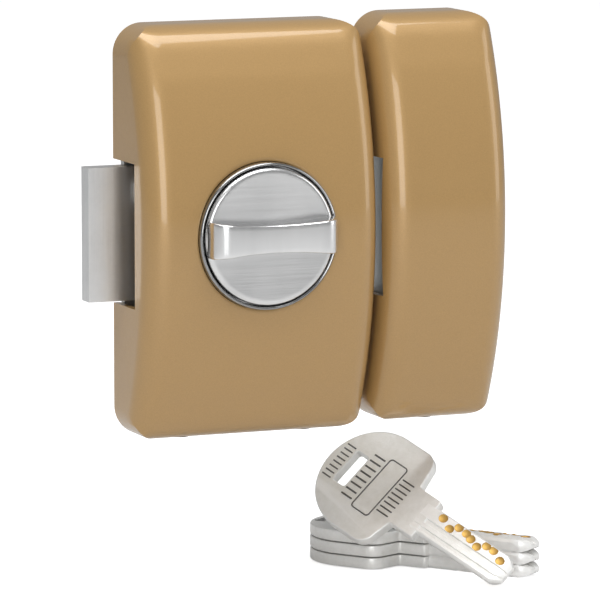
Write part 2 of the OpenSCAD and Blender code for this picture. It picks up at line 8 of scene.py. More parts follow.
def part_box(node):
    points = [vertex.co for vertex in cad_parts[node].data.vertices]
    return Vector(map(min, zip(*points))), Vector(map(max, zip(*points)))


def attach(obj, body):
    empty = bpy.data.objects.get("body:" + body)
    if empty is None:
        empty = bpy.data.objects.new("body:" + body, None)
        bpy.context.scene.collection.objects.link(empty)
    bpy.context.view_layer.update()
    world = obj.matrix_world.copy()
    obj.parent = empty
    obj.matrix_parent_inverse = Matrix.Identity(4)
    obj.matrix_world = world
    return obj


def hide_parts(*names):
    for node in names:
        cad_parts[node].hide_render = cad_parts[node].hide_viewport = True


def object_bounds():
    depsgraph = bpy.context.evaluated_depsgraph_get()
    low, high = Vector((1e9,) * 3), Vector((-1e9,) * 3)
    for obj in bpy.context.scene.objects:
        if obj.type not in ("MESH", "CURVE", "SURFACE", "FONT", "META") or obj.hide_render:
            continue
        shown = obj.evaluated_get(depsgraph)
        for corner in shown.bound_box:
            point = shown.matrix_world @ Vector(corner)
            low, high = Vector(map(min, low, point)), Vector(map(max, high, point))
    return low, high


bl_info = {
    "name": "Rim Bolt Lock",
    "version": (1, 0, 0),
    "blender": (4, 5, 0),
    "location": "3D View > Sidebar > Rim Lock",
    "description": "Finishes a rim bolt lock with its keeper, thumb turn, cylinder and keys",
    "category": "Object",
}

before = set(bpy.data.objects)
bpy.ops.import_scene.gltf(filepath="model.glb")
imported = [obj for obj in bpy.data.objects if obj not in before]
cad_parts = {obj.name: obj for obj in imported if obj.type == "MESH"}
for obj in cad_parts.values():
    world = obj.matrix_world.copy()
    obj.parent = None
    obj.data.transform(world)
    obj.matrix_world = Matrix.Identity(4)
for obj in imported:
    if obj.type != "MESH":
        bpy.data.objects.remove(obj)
CAD_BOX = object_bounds()

CASE_LOW, CASE_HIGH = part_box("case_cover")
KEEPER_LOW, KEEPER_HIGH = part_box("keeper_cover")
COLLAR_LOW, COLLAR_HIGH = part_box("turn_collar")
TURN_LOW, TURN_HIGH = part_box("thumb_turn")
KEY_LOW, KEY_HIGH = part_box("key_1")

CAMERA_PLACE = (-0.4477, -1.1145, 0.1484)
CAMERA_AIM = (0.01316, -0.010, -0.01682)
PIN_COUNT = 5
SPRING_WIRE = 0.00017
SPRING_TURNS = 6
SPRING_SLACK = 0.00002


# ---------------------------------------------------------------- settings

class CoverSettings(bpy.types.PropertyGroup):
    bulge: bpy.props.FloatProperty(name="Bulge radius", description="Radius of the bulged front",
                                   default=0.110, unit="LENGTH", subtype="DISTANCE")
    side: bpy.props.FloatProperty(name="Side edge", description="Radius of the long rounded edges",
                                  default=0.0062, unit="LENGTH", subtype="DISTANCE")
    end: bpy.props.FloatProperty(name="End edge", description="Radius of the top and bottom edges",
                                 default=0.009, unit="LENGTH", subtype="DISTANCE")
    corner: bpy.props.FloatProperty(name="Corner", description="Corner radius of the outline",
                                    default=0.007, unit="LENGTH", subtype="DISTANCE")
    wall: bpy.props.FloatProperty(name="Wall", description="Sheet thickness",
                                  default=0.0016, unit="LENGTH", subtype="DISTANCE")
    paint: bpy.props.FloatVectorProperty(name="Paint", description="Colour of the bronze enamel", size=3,
                                         subtype="COLOR", default=(0.430, 0.262, 0.096), min=0, max=1)


class TurnSettings(bpy.types.PropertyGroup):
    end_width: bpy.props.FloatProperty(name="Grip end", description="Width of the grip bar at its ends",
                                       default=0.0082, unit="LENGTH", subtype="DISTANCE")
    waist: bpy.props.FloatProperty(name="Grip waist", description="Width of the grip bar at its middle",
                                   default=0.0063, unit="LENGTH", subtype="DISTANCE")
    dip: bpy.props.FloatProperty(name="Dip", description="Hollow along the front of the grip bar",
                                 default=0.001, unit="LENGTH", subtype="DISTANCE")
    metal: bpy.props.FloatVectorProperty(name="Metal", description="Colour of the satin nickel", size=3,
                                         subtype="COLOR", default=(0.86, 0.865, 0.87), min=0, max=1)


class KeySettings(bpy.types.PropertyGroup):
    ribs: bpy.props.IntProperty(name="Grip ribs", description="Ribs in each group on the bow",
                                default=8, min=2)
    dimples: bpy.props.IntProperty(name="Dimples", description="Dimples along the blade", default=9, min=3)
    # partly painted light: the key metal is pale nickel, and its colour is also lifted to make up for the
    # shadow the case casts on the keys
    metal: bpy.props.FloatVectorProperty(name="Metal", description="Colour of the pale nickel", size=3,
                                         subtype="COLOR", default=(0.93, 0.92, 0.87), min=0, max=1)
    gilt: bpy.props.FloatVectorProperty(name="Cut metal", description="Colour of the brass in the dimples",
                                        size=3, subtype="COLOR", default=(0.62, 0.40, 0.12), min=0, max=1)


class StageSettings(bpy.types.PropertyGroup):
    lens: bpy.props.FloatProperty(name="Lens", description="Focal length in millimetres", default=318.18)
    floor: bpy.props.FloatVectorProperty(name="Floor", description="Colour of the floor", size=3,
                                         subtype="COLOR", default=(0.72, 0.72, 0.72), min=0, max=1)
    floor_lift: bpy.props.FloatProperty(name="Floor lift",
                                      description="How much the floor glows to the camera", default=0.7)
    world: bpy.props.FloatProperty(name="World", description="Strength of the room light", default=0.34)
    top: bpy.props.FloatProperty(name="Top light", description="Power of the top softbox", default=13)
    front: bpy.props.FloatProperty(name="Front light", description="Power of the front softbox", default=9)
    right: bpy.props.FloatProperty(name="Right light", description="Power of the right softbox", default=3)


# ---------------------------------------------------------------- node helpers

def shader_group(name, inputs, outputs):
    tree = bpy.data.node_groups.new(name, "ShaderNodeTree")
    for label, kind, value in inputs:
        s = tree.interface.new_socket(name=label, in_out="INPUT", socket_type=kind)
        if value is not None:
            s.default_value = value
    for label, kind in outputs:
        tree.interface.new_socket(name=label, in_out="OUTPUT", socket_type=kind)
    return tree, tree.nodes.new("NodeGroupInput"), tree.nodes.new("NodeGroupOutput")


def math_node(tree, operation, a, b=None, clamp=False):
    n = tree.nodes.new("ShaderNodeMath")
    n.operation = operation
    n.use_clamp = clamp
    for i, v in enumerate((a, b)):
        if v is None:
            continue
        if isinstance(v, (int, float)):
            n.inputs[i].default_value = v
        else:
            tree.links.new(v, n.inputs[i])
    return n.outputs[0]


def noise_node(tree, vector, scale, detail=2.0, rough=0.5):
    n = tree.nodes.new("ShaderNodeTexNoise")
    n.inputs["Detail"].default_value = detail
    n.inputs["Roughness"].default_value = rough
    if isinstance(scale, (int, float)):
        n.inputs["Scale"].default_value = scale
    else:
        tree.links.new(scale, n.inputs["Scale"])
    tree.links.new(vector, n.inputs["Vector"])
    return n.outputs["Fac"]


def brushed_group():
    """Long fine scratches: the coordinates are squeezed along the way the metal was brushed."""
    tree, gin, gout = shader_group("Brushed Grain", [
        ("Vector", "NodeSocketVector", None), ("Density", "NodeSocketFloat", 900.0),
        ("Stretch", "NodeSocketVector", (1.0, 1.0, 0.03)), ("Depth", "NodeSocketFloat", 1.0),
        ("Roughness", "NodeSocketFloat", 0.3), ("Spread", "NodeSocketFloat", 0.12)],
        [("Height", "NodeSocketFloat"), ("Roughness", "NodeSocketFloat"), ("Shade", "NodeSocketFloat")])
    squeeze = tree.nodes.new("ShaderNodeVectorMath")
    squeeze.operation = "MULTIPLY"
    tree.links.new(gin.outputs["Vector"], squeeze.inputs[0])
    tree.links.new(gin.outputs["Stretch"], squeeze.inputs[1])
    fine = noise_node(tree, squeeze.outputs[0], gin.outputs["Density"], 3.0, 0.65)
    sparse = math_node(tree, "MULTIPLY", gin.outputs["Density"], 0.22)
    coarse = noise_node(tree, squeeze.outputs[0], sparse, 2.0)
    blend = math_node(tree, "ADD", math_node(tree, "MULTIPLY", fine, 0.7),
                      math_node(tree, "MULTIPLY", coarse, 0.3))
    tree.links.new(math_node(tree, "MULTIPLY", blend, gin.outputs["Depth"]), gout.inputs["Height"])
    swing = math_node(tree, "MULTIPLY", math_node(tree, "SUBTRACT", blend, 0.5), gin.outputs["Spread"])
    tree.links.new(math_node(tree, "ADD", gin.outputs["Roughness"], swing, True), gout.inputs["Roughness"])
    tree.links.new(blend, gout.inputs["Shade"])
    return tree


def handling_group():
    """Cloudy patches of wear and thumb marks: a soft mask, and a finer one inside it."""
    tree, gin, gout = shader_group("Handling Marks", [
        ("Vector", "NodeSocketVector", None), ("Size", "NodeSocketFloat", 60.0),
        ("Amount", "NodeSocketFloat", 0.5)],
        [("Mask", "NodeSocketFloat"), ("Fine", "NodeSocketFloat")])
    broad = noise_node(tree, gin.outputs["Vector"], gin.outputs["Size"], 3.0)
    small = noise_node(tree, gin.outputs["Vector"],
                       math_node(tree, "MULTIPLY", gin.outputs["Size"], 9.0), 4.0, 0.6)
    ramp = tree.nodes.new("ShaderNodeMapRange")
    ramp.inputs["From Min"].default_value = 0.38
    ramp.inputs["From Max"].default_value = 0.68
    tree.links.new(broad, ramp.inputs["Value"])
    tree.links.new(math_node(tree, "MULTIPLY", ramp.outputs["Result"], gin.outputs["Amount"]),
                   gout.inputs["Mask"])
    tree.links.new(small, gout.inputs["Fine"])
    return tree


def edge_group():
    """Bright worn edges, from how sharply the surface turns."""
    tree, gin, gout = shader_group("Edge Wear", [
        ("Vector", "NodeSocketVector", None), ("Low", "NodeSocketFloat", 0.52),
        ("High", "NodeSocketFloat", 0.62)],
        [("Mask", "NodeSocketFloat")])
    geo = tree.nodes.new("ShaderNodeNewGeometry")
    broken = noise_node(tree, gin.outputs["Vector"], 900.0, 3.0)
    shifted = math_node(tree, "ADD", geo.outputs["Pointiness"],
                        math_node(tree, "MULTIPLY", math_node(tree, "SUBTRACT", broken, 0.5), 0.06))
    ramp = tree.nodes.new("ShaderNodeMapRange")
    tree.links.new(shifted, ramp.inputs["Value"])
    tree.links.new(gin.outputs["Low"], ramp.inputs["From Min"])
    tree.links.new(gin.outputs["High"], ramp.inputs["From Max"])
    tree.links.new(ramp.outputs["Result"], gout.inputs["Mask"])
    return tree


GROUPS = {}


def effect(material, name):
    """One of the shared shader groups, placed in a material and fed with Object coordinates."""
    makers = {"brushed": brushed_group, "handling": handling_group, "edge": edge_group}
    if name not in GROUPS:
        GROUPS[name] = makers[name]()
    nodes = material.node_tree.nodes
    g = nodes.new("ShaderNodeGroup")
    g.node_tree = GROUPS[name]
    coords = nodes.get("Coordinates")
    if coords is None:
        coords = nodes.new("ShaderNodeTexCoord")
        coords.name = "Coordinates"
    material.node_tree.links.new(coords.outputs["Object"], g.inputs["Vector"])
    return g


def fresh_material(name, color, metallic, roughness):
    m = bpy.data.materials.new(name)
    m.use_nodes = True
    b = m.node_tree.nodes["Principled BSDF"]
    b.inputs["Base Color"].default_value = (*color, 1)
    b.inputs["Metallic"].default_value = metallic
    b.inputs["Roughness"].default_value = roughness
    return m, b


def mix_colors(material, factor, a, b):
    t = material.node_tree
    n = t.nodes.new("ShaderNodeMix")
    n.data_type = "RGBA"
    n.inputs["A"].default_value = (*a, 1)
    n.inputs["B"].default_value = (*b, 1)
    t.links.new(factor, n.inputs["Factor"])
    return n.outputs["Result"]


def bump(material, bsdf, height, strength, distance):
    t = material.node_tree
    n = t.nodes.new("ShaderNodeBump")
    n.inputs["Strength"].default_value = strength
    n.inputs["Distance"].default_value = distance
    t.links.new(height, n.inputs["Height"])
    t.links.new(n.outputs["Normal"], bsdf.inputs["Normal"])


def enamel(name, color):
    """Bronze metallic enamel: fine flakes under a clear coat, with a trace of orange peel."""
    m, b = fresh_material(name, color, 0.25, 0.45)
    t = m.node_tree
    marks = effect(m, "handling")
    marks.inputs["Size"].default_value = 45
    coords = t.nodes["Coordinates"].outputs["Object"]
    flakes = noise_node(t, coords, 3400, 2.0, 0.7)
    dark = tuple(c * 0.86 for c in color)
    light = tuple(min(1, c * 1.13) for c in color)
    t.links.new(mix_colors(m, flakes, dark, light), b.inputs["Base Color"])
    rough = math_node(t, "ADD", 0.36, math_node(t, "MULTIPLY", marks.outputs["Fine"], 0.10))
    t.links.new(rough, b.inputs["Roughness"])
    b.inputs["Coat Weight"].default_value = 0.8
    b.inputs["Coat Roughness"].default_value = 0.06
    b.inputs["Coat IOR"].default_value = 1.5
    bump(m, b, noise_node(t, coords, 420, 1.0), 0.03, 0.0004)
    return m


def metal(name, color, roughness, stretch, density=1400.0, depth=0.06, wear=0.0, tint=0.10, spread=0.14):
    """A metal finish with its own grain: brushed along the axis where the stretch is smallest."""
    m, b = fresh_material(name, color, 1.0, roughness)
    t = m.node_tree
    grain = effect(m, "brushed")
    grain.inputs["Density"].default_value = density
    grain.inputs["Stretch"].default_value = stretch
    grain.inputs["Roughness"].default_value = roughness
    grain.inputs["Spread"].default_value = spread
    marks = effect(m, "handling")
    marks.inputs["Amount"].default_value = 0.5
    shade = math_node(t, "ADD", math_node(t, "MULTIPLY", grain.outputs["Shade"], 0.7),
                      math_node(t, "MULTIPLY", marks.outputs["Mask"], 0.5), True)
    dark = tuple(c * (1 - tint) for c in color)
    light = tuple(min(1, c * (1 + tint)) for c in color)
    col = mix_colors(m, shade, dark, light)
    if wear > 0:
        edge = effect(m, "edge")
        mixed = t.nodes.new("ShaderNodeMix")
        mixed.data_type = "RGBA"
        mixed.inputs["B"].default_value = (*(min(1, c * 1.25 + 0.05) for c in color), 1)
        t.links.new(math_node(t, "MULTIPLY", edge.outputs["Mask"], wear), mixed.inputs["Factor"])
        t.links.new(col, mixed.inputs["A"])
        col = mixed.outputs["Result"]
    t.links.new(col, b.inputs["Base Color"])
    t.links.new(grain.outputs["Roughness"], b.inputs["Roughness"])
    bump(m, b, grain.outputs["Height"], depth, 0.0003)
    return m


MATERIALS = {}


def finishes():
    """Every finish of the lock, made once."""
    if MATERIALS:
        return MATERIALS
    s = bpy.context.scene
    paint = tuple(s.lock_cover.paint)
    nickel = tuple(s.lock_turn.metal)
    key = tuple(s.lock_keys.metal)
    gilt = tuple(s.lock_keys.gilt)
    MATERIALS.update({
        "paint": enamel("Bronze Enamel", paint),
        "satin": metal("Satin Nickel", nickel, 0.25, (0.03, 1.0, 1.0), 900.0, 0.10, tint=0.34, spread=0.16),
        "grip": metal("Satin Nickel Grip", nickel, 0.22, (1.0, 1.0, 0.05), 700.0, 0.05,
                      tint=0.22, spread=0.14),
        # painted shade: this nickel's colour is darkened to 0.34 so the collar round the thumb turn reads as
        # the dark ring of shade in the gap; the cover screws and the keeper screw share it
        "painted_shade_nickel": metal("Nickel With Painted Shade", (0.34, 0.34, 0.34), 0.14, (1.0, 1.0, 1.0), 300.0, 0.01, tint=0.04),
        "steel": metal("Brushed Steel", (0.80, 0.81, 0.815), 0.34, (1.0, 1.0, 0.04), 1100.0, 0.12, 0.5, 0.22),
        "zinc": metal("Zinc Plate", (0.58, 0.59, 0.58), 0.38, (1.0, 1.0, 1.0), 260.0, 0.05, 0.4, 0.10),
        "spring": metal("Spring Steel", (0.40, 0.41, 0.43), 0.28, (0.2, 1.0, 1.0), 900.0, 0.05, 0.4),
        "brass": metal("Machined Brass", (0.68, 0.50, 0.22), 0.30, (1.0, 0.06, 1.0), 1200.0, 0.06, 0.5),
        # partly painted light: the key colour is the pale nickel, lifted to make up for the case's shadow on
        # the keys
        "key": metal("Pale Nickel With Painted Light", key, 0.34, (1.0, 1.0, 1.0), 620.0, 0.20, 0.6, 0.24, 0.20),
        "gilt": metal("Cut Brass", gilt, 0.55, (1.0, 1.0, 1.0), 900.0, 0.06, 0.0, 0.15),
        "dark": metal("Shadowed Steel", (0.16, 0.16, 0.165), 0.45, (1.0, 1.0, 1.0), 500.0, 0.08)})
    MATERIALS["key"].node_tree.nodes["Principled BSDF"].inputs["Metallic"].default_value = 0.35
    return MATERIALS


# ---------------------------------------------------------------- mesh helpers

def make_object(name, mesh, *materials):
    o = bpy.data.objects.new(name, mesh)
    bpy.context.scene.collection.objects.link(o)
    for m in materials:
        mesh.materials.append(m)
    return o


def smooth(mesh, degrees=32):
    mesh.shade_smooth()
    mesh.set_sharp_from_angle(angle=math.radians(degrees))


def baked(obj):
    """Turns an object's modifiers into its own mesh."""
    deps = bpy.context.evaluated_depsgraph_get()
    new = bpy.data.meshes.new_from_object(obj.evaluated_get(deps), depsgraph=deps)
    old = obj.data
    obj.modifiers.clear()
    obj.data = new
    new.name = old.name
    bpy.data.meshes.remove(old)
    return obj


def loft(name, loops, close_start=False, close_end=False, ring=False):
    """Skin over loops that all have the same number of points, in the order given."""
    bm = bmesh.new()
    rows = [[bm.verts.new(p) for p in loop] for loop in loops]
    pairs = list(zip(rows, rows[1:])) + ([(rows[-1], rows[0])] if ring else [])
    for a, b in pairs:
        n = len(a)
        for i in range(n):
            j = (i + 1) % n
            bm.faces.new((a[i], a[j], b[j], b[i]))
    for row, closed in ((rows[0], close_start), (rows[-1], close_end)):
        if closed:
            mid = bm.verts.new(sum((v.co for v in row), Vector()) / len(row))
            for i in range(len(row)):
                bm.faces.new((row[i], row[(i + 1) % len(row)], mid))
    bmesh.ops.remove_doubles(bm, verts=bm.verts, dist=1e-7)
    bmesh.ops.dissolve_degenerate(bm, dist=1e-7, edges=bm.edges)
    bmesh.ops.recalc_face_normals(bm, faces=bm.faces)
    mesh = bpy.data.meshes.new(name)
    bm.to_mesh(mesh)
    bm.free()
    return mesh


def lathe(name, section, count=128, center=(0.0, 0.0)):
    """Closed section of (radius, y) points turned about the Y axis."""
    loops = []
    for r, y in section:
        loops.append([(center[0] + r * math.cos(2 * math.pi * i / count), y,
                       center[1] + r * math.sin(2 * math.pi * i / count)) for i in range(count)])
    return loft(name, loops, ring=True)


def box_mesh(low, high):
    bm = bmesh.new()
    bmesh.ops.create_cube(bm, size=1)
    for v in bm.verts:
        v.co = Vector([(low[k] + high[k]) / 2 + v.co[k] * (high[k] - low[k]) for k in range(3)])
    mesh = bpy.data.meshes.new("Cutter")
    bm.to_mesh(mesh)
    bm.free()
    return mesh


def cut_away(obj, *boxes):
    """Cuts boxes out of a piece."""
    cutters = []
    for low, high in boxes:
        c = make_object("Cutter", box_mesh(low, high))
        cutters.append(c)
        mod = obj.modifiers.new("Cut", "BOOLEAN")
        mod.operation = "DIFFERENCE"
        mod.solver = "EXACT"
        mod.object = c
    bpy.context.view_layer.update()
    baked(obj)
    for c in cutters:
        bpy.data.objects.remove(c)
    return obj


def softened(node, body, material, width=0.00015, name=None, angle=30):
    """A copy of a made node with small rounded edges, in place of it."""
    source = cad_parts[node]
    bm = bmesh.new()
    bm.from_mesh(source.data)
    bmesh.ops.remove_doubles(bm, verts=bm.verts, dist=2e-6)
    bmesh.ops.dissolve_limit(bm, angle_limit=math.radians(1.0), verts=bm.verts, edges=bm.edges)
    mesh = bpy.data.meshes.new(name or node)
    bm.to_mesh(mesh)
    bm.free()
    obj = make_object((name or node) + "_piece", mesh, material)
    mod = obj.modifiers.new("Edges", "BEVEL")
    mod.width = width
    mod.segments = 2
    mod.limit_method = "ANGLE"
    mod.angle_limit = math.radians(angle)
    mod.use_clamp_overlap = True
    mod.harden_normals = False
    bpy.context.view_layer.update()
    level = obj.modifiers.new("Flat Faces", "WEIGHTED_NORMAL")
    level.keep_sharp = False
    level.weight = 100
    mesh.shade_smooth()
    baked(obj)
    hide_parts(node)
    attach(obj, body)
    return obj


# ---------------------------------------------------------------- covers

def softer_min(a, b, k):
    """The lower of two heights, rounded where they cross."""
    h = max(0.0, min(1.0, 0.5 + 0.5 * (b - a) / k))
    return b + (a - b) * h - k * h * (1 - h)


def cover_height(x, z, half_w, half_h, depth, s, inset):
    """How far the cover's skin stands out from the door at a place on its front."""
    front = s.bulge - inset
    centre = depth - s.bulge
    r = s.side - inset
    t = abs(x) - (half_w - s.side)
    reach = front if t <= 0 else front - r + math.sqrt(max(0.0, r * r - t * t))
    side = centre + math.sqrt(reach * reach - z * z)
    e = s.end - inset
    zc = half_h - s.end
    xc = centre + math.sqrt((front - e) ** 2 - zc * zc)
    lean = math.atan2(zc, xc - centre)
    if abs(z) > zc + e * math.sin(lean):
        end = xc + math.sqrt(max(0.0, e * e - (abs(z) - zc) ** 2))
    else:
        end = centre + math.sqrt(front * front - z * z) + 0.002 * max(0.0, 1 - abs(z) / zc)
    k = 0.0022 * max(0.0, min(1.0, (abs(z) - (zc - 0.004)) / 0.010))
    return softer_min(side, end, k) if k > 1e-6 else min(side, end)


def outline_point(u, half_w, half_h, corner):
    """Point number u (0 to 1) round a rounded rectangle."""
    a, b = half_w - corner, half_h - corner
    runs = [2 * b, math.pi / 2 * corner, 2 * a, math.pi / 2 * corner] * 2
    d = u * sum(runs)
    x, z, heading = half_w, -b, 90.0
    for i, run in enumerate(runs):
        step = min(d, run)
        c, s = math.cos(math.radians(heading)), math.sin(math.radians(heading))
        if i % 2 == 0:
            x, z = x + c * step, z + s * step
        else:
            ang = step / corner
            x += corner * (math.sin(ang) * c - (1 - math.cos(ang)) * s)
            z += corner * (math.sin(ang) * s + (1 - math.cos(ang)) * c)
            heading += 90
        d -= step
        if d <= 0:
            break
    return x, z


def cover_loops(half_w, half_h, depth, s, inset, target, count, steps=26, offset=(0, 0)):
    """Loops from the door plane up the wall, round the edge and in to the target radius."""
    w, h, corner = half_w - inset, half_h - inset, s.corner - inset
    zone = min(0.0105, w * 0.62) - inset
    loops = []

    def place(x, z, y):
        return (x + offset[0], -y, z + offset[1])

    rim = [outline_point(i / count, w, h, corner) for i in range(count)]
    top = [cover_height(x, z, half_w, half_h, depth, s, inset) for x, z in rim]
    for f in (0.0, 0.33, 0.66, 1.0):
        loops.append([place(x, z, f * y) for (x, z), y in zip(rim, top)])
    for k in range(1, 25):
        t = k / 24
        d = zone * (1 - math.cos(t * math.pi / 2)) ** 1.15
        c = max(corner - d, corner * 0.22)
        loops.append([])
        for i in range(count):
            x, z = outline_point(i / count, w - d, h - d, c)
            x, z = max(-w + d, min(w - d, x)), max(-h + d, min(h - d, z))
            loops[-1].append(place(x, z, cover_height(x, z, half_w, half_h, depth, s, inset)))
    inner = [(p[0] - offset[0], p[2] - offset[1]) for p in loops[-1]]
    for k in range(1, steps + 1):
        t = k / steps
        loop = []
        for x, z in inner:
            ang = math.atan2(z, x)
            hx, hz = target * math.cos(ang), target * math.sin(ang)
            px, pz = x + (hx - x) * t, z + (hz - z) * t
            loop.append(place(px, pz, cover_height(px, pz, half_w, half_h, depth, s, inset)))
        loops.append(loop)
    return loops


def case_cover_mesh(s):
    half_w = (CASE_HIGH[0] - CASE_LOW[0]) / 2
    half_h = (CASE_HIGH[2] - CASE_LOW[2]) / 2
    depth = -CASE_LOW[1]
    count = 400
    pocket = (COLLAR_HIGH[0] - COLLAR_LOW[0]) / 2 + 0.00006
    floor = -(depth - 0.003)
    outer = cover_loops(half_w, half_h, depth, s, 0.0, pocket + 0.0004, count)
    rim = outer[-1]
    angles = [math.atan2(p[2], p[0]) for p in rim]

    def circle(r, y):
        return [(r * math.cos(a), y, r * math.sin(a)) for a in angles]

    edge = [(pocket * math.cos(a), p[1] + 0.0004, pocket * math.sin(a)) for a, p in zip(angles, rim)]
    mid = [((0.5 * (q[0] + e[0])) * 0.992, 0.7 * q[1] + 0.3 * e[1], (0.5 * (q[2] + e[2])) * 0.992)
           for q, e in zip(rim, edge)]
    inner = cover_loops(half_w, half_h, depth, s, s.wall, pocket + s.wall, count, steps=8)
    pocket_loops = [mid, edge, circle(pocket, floor), circle(0.0108, floor),
                    circle(0.0108, floor + 0.0014), circle(pocket + s.wall, floor + 0.0014)]
    return loft("Case Cover", outer + pocket_loops + inner[::-1], ring=True)


def keeper_cover_mesh(s):
    half_w = (KEEPER_HIGH[0] - KEEPER_LOW[0]) / 2
    half_h = (KEEPER_HIGH[2] - KEEPER_LOW[2]) / 2
    place = ((KEEPER_HIGH[0] + KEEPER_LOW[0]) / 2, (KEEPER_HIGH[2] + KEEPER_LOW[2]) / 2)
    depth = -KEEPER_LOW[1]
    outer = cover_loops(half_w, half_h, depth, s, 0.0, 0.0004, 360, offset=place)
    inner = cover_loops(half_w, half_h, depth, s, s.wall, 0.0004, 360, steps=8, offset=place)
    return loft("Keeper Cover", inner[::-1] + outer, close_start=True, close_end=True)


class LOCK_OT_covers(bpy.types.Operator):
    """Makes the painted covers of the case and the keeper"""
    bl_idname = "lock.covers"
    bl_label = "Make Covers"

    def execute(self, context):
        s = context.scene.lock_cover
        paint = finishes()["paint"]
        case = make_object("case_cover_piece", case_cover_mesh(s), paint)
        notch, tall = 0.0135, 0.0164
        x0, x1 = CASE_LOW[0], CASE_HIGH[0]
        cut_away(case, ((x0 - 0.01, -notch, -tall), (x0 + 0.006, 0.01, tall)),
                 ((x1 - 0.006, -notch, -tall), (x1 + 0.01, 0.01, tall)))
        smooth(case.data, 30)
        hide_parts("case_cover")
        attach(case, "lock_case")
        keeper = make_object("keeper_cover_piece", keeper_cover_mesh(s), paint)
        k0 = KEEPER_LOW[0]
        cut_away(keeper, ((k0 - 0.01, -0.018, -0.0158), (k0 + 0.0062, 0.01, 0.0158)))
        smooth(keeper.data, 30)
        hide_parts("keeper_cover")
        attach(keeper, "lock_case")
        return {"FINISHED"}


# ---------------------------------------------------------------- thumb turn

def turn_disc_mesh():
    r = 0.0156
    back, rim = TURN_HIGH[1], -(-CASE_LOW[1] + 0.0018)
    disc_back = -(-CASE_LOW[1] - 0.003 + 0.0011)
    arc = [(r - 0.0011 + 0.0011 * math.sin(a), rim + 0.0011 - 0.0011 * math.cos(a))
           for a in [math.radians(q) for q in (90, 72, 54, 40, 26, 12, 0)]]
    bore = disc_back - 0.0002
    section = [(r, disc_back)] + arc + [(r - 0.0016, rim + 0.00003), (0.006, rim + 0.00006),
               (0.00005, rim + 0.00006),
               (0.00005, bore), (0.0036, bore), (0.0036, back), (0.00895, back), (0.00895, disc_back)]
    return lathe("Turn Disc", section, 160)


def grip_mesh(s):
    """Grip bar: sections along X, wide and rounded at the ends, waisted and dished between them."""
    reach, corner = 0.0152, 0.004
    front = -TURN_LOW[1]
    rim = -CASE_LOW[1] + 0.0018
    base = rim - 0.0006
    waist_bow = (s.end_width - s.waist) / 2
    stations = [-reach + corner * (1 - math.cos(math.radians(a))) for a in range(0, 91, 9)]
    flat = reach - corner
    stations += [-flat + 2 * flat * i / 26 for i in range(1, 26)]
    stations += [reach - corner * (1 - math.cos(math.radians(a))) for a in range(90, -1, -9)]
    loops = []
    soft = 0.00055
    for x in stations:
        half = s.waist / 2 + waist_bow * (x / reach) ** 2
        half = min(half, math.sqrt(max(0.0, 0.01558 ** 2 - x * x)) + 0.0) if abs(x) > 0.0148 else half
        if abs(x) > flat:
            t = (abs(x) - flat) / corner
            top = front - corner + corner * math.sqrt(max(0.0, 1 - t * t))
        else:
            top = front - s.dip * (1 - (x / flat) ** 2)
        e = min(soft, (top - base) * 0.45)
        pts = [(x, -base, half)]
        for k in range(0, 7):
            a = math.radians(90 * k / 6)
            pts.append((x, -(top - e + e * math.sin(a)), half - e + e * math.cos(a)))
        for k in range(1, 8):
            z = (half - e) * (1 - 2 * k / 8)
            pts.append((x, -top - 0.00004 * (1 - (2 * k / 8 - 1) ** 2), z))
        for k in range(0, 7):
            a = math.radians(90 - 90 * k / 6)
            pts.append((x, -(top - e + e * math.sin(a)), -half + e - e * math.cos(a)))
        pts.append((x, -base, -half))
        loops.append(pts)
    return loft("Grip Bar", loops, close_start=True, close_end=True)


def collar_mesh():
    out = (COLLAR_HIGH[0] - COLLAR_LOW[0]) / 2
    inn = 0.0159
    front, back = COLLAR_LOW[1], COLLAR_HIGH[1]
    floor = -(-CASE_LOW[1] - 0.003)
    e = 0.0003
    section = [(0.0104, back), (0.0104, floor - 0.00001), (out, floor), (out, front + 0.0006),
               (out - 0.0001, front + 0.00025),
               (out - e, front + 0.00005), (out - 0.00042, front), (inn + 0.0002, front + 0.00006),
               (inn, front + 0.0003),
               (inn, floor - 0.0009), (0.009, floor - 0.0009), (0.009, back)]
    return lathe("Turn Collar", section, 160)


class LOCK_OT_turn(bpy.types.Operator):
    """Makes the thumb turn's disc and grip bar, and the collar round them"""
    bl_idname = "lock.turn"
    bl_label = "Make Thumb Turn"

    def execute(self, context):
        s = context.scene.lock_turn
        f = finishes()
        disc = make_object("turn_disc_piece", turn_disc_mesh(), f["satin"])
        smooth(disc.data, 28)
        grip = make_object("turn_grip_piece", grip_mesh(s), f["grip"])
        smooth(grip.data, 40)
        # painted shade: the collar takes the darkened nickel so it reads as the dark ring of shade round the
        # turn
        collar = make_object("turn_collar_piece", collar_mesh(), f["painted_shade_nickel"])
        smooth(collar.data, 40)
        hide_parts("thumb_turn")
        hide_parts("thumb_turn")
        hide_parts("turn_collar")
        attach(disc, "turn")
        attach(grip, "turn")
        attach(collar, "lock_case")
        return {"FINISHED"}


# ---------------------------------------------------------------- works

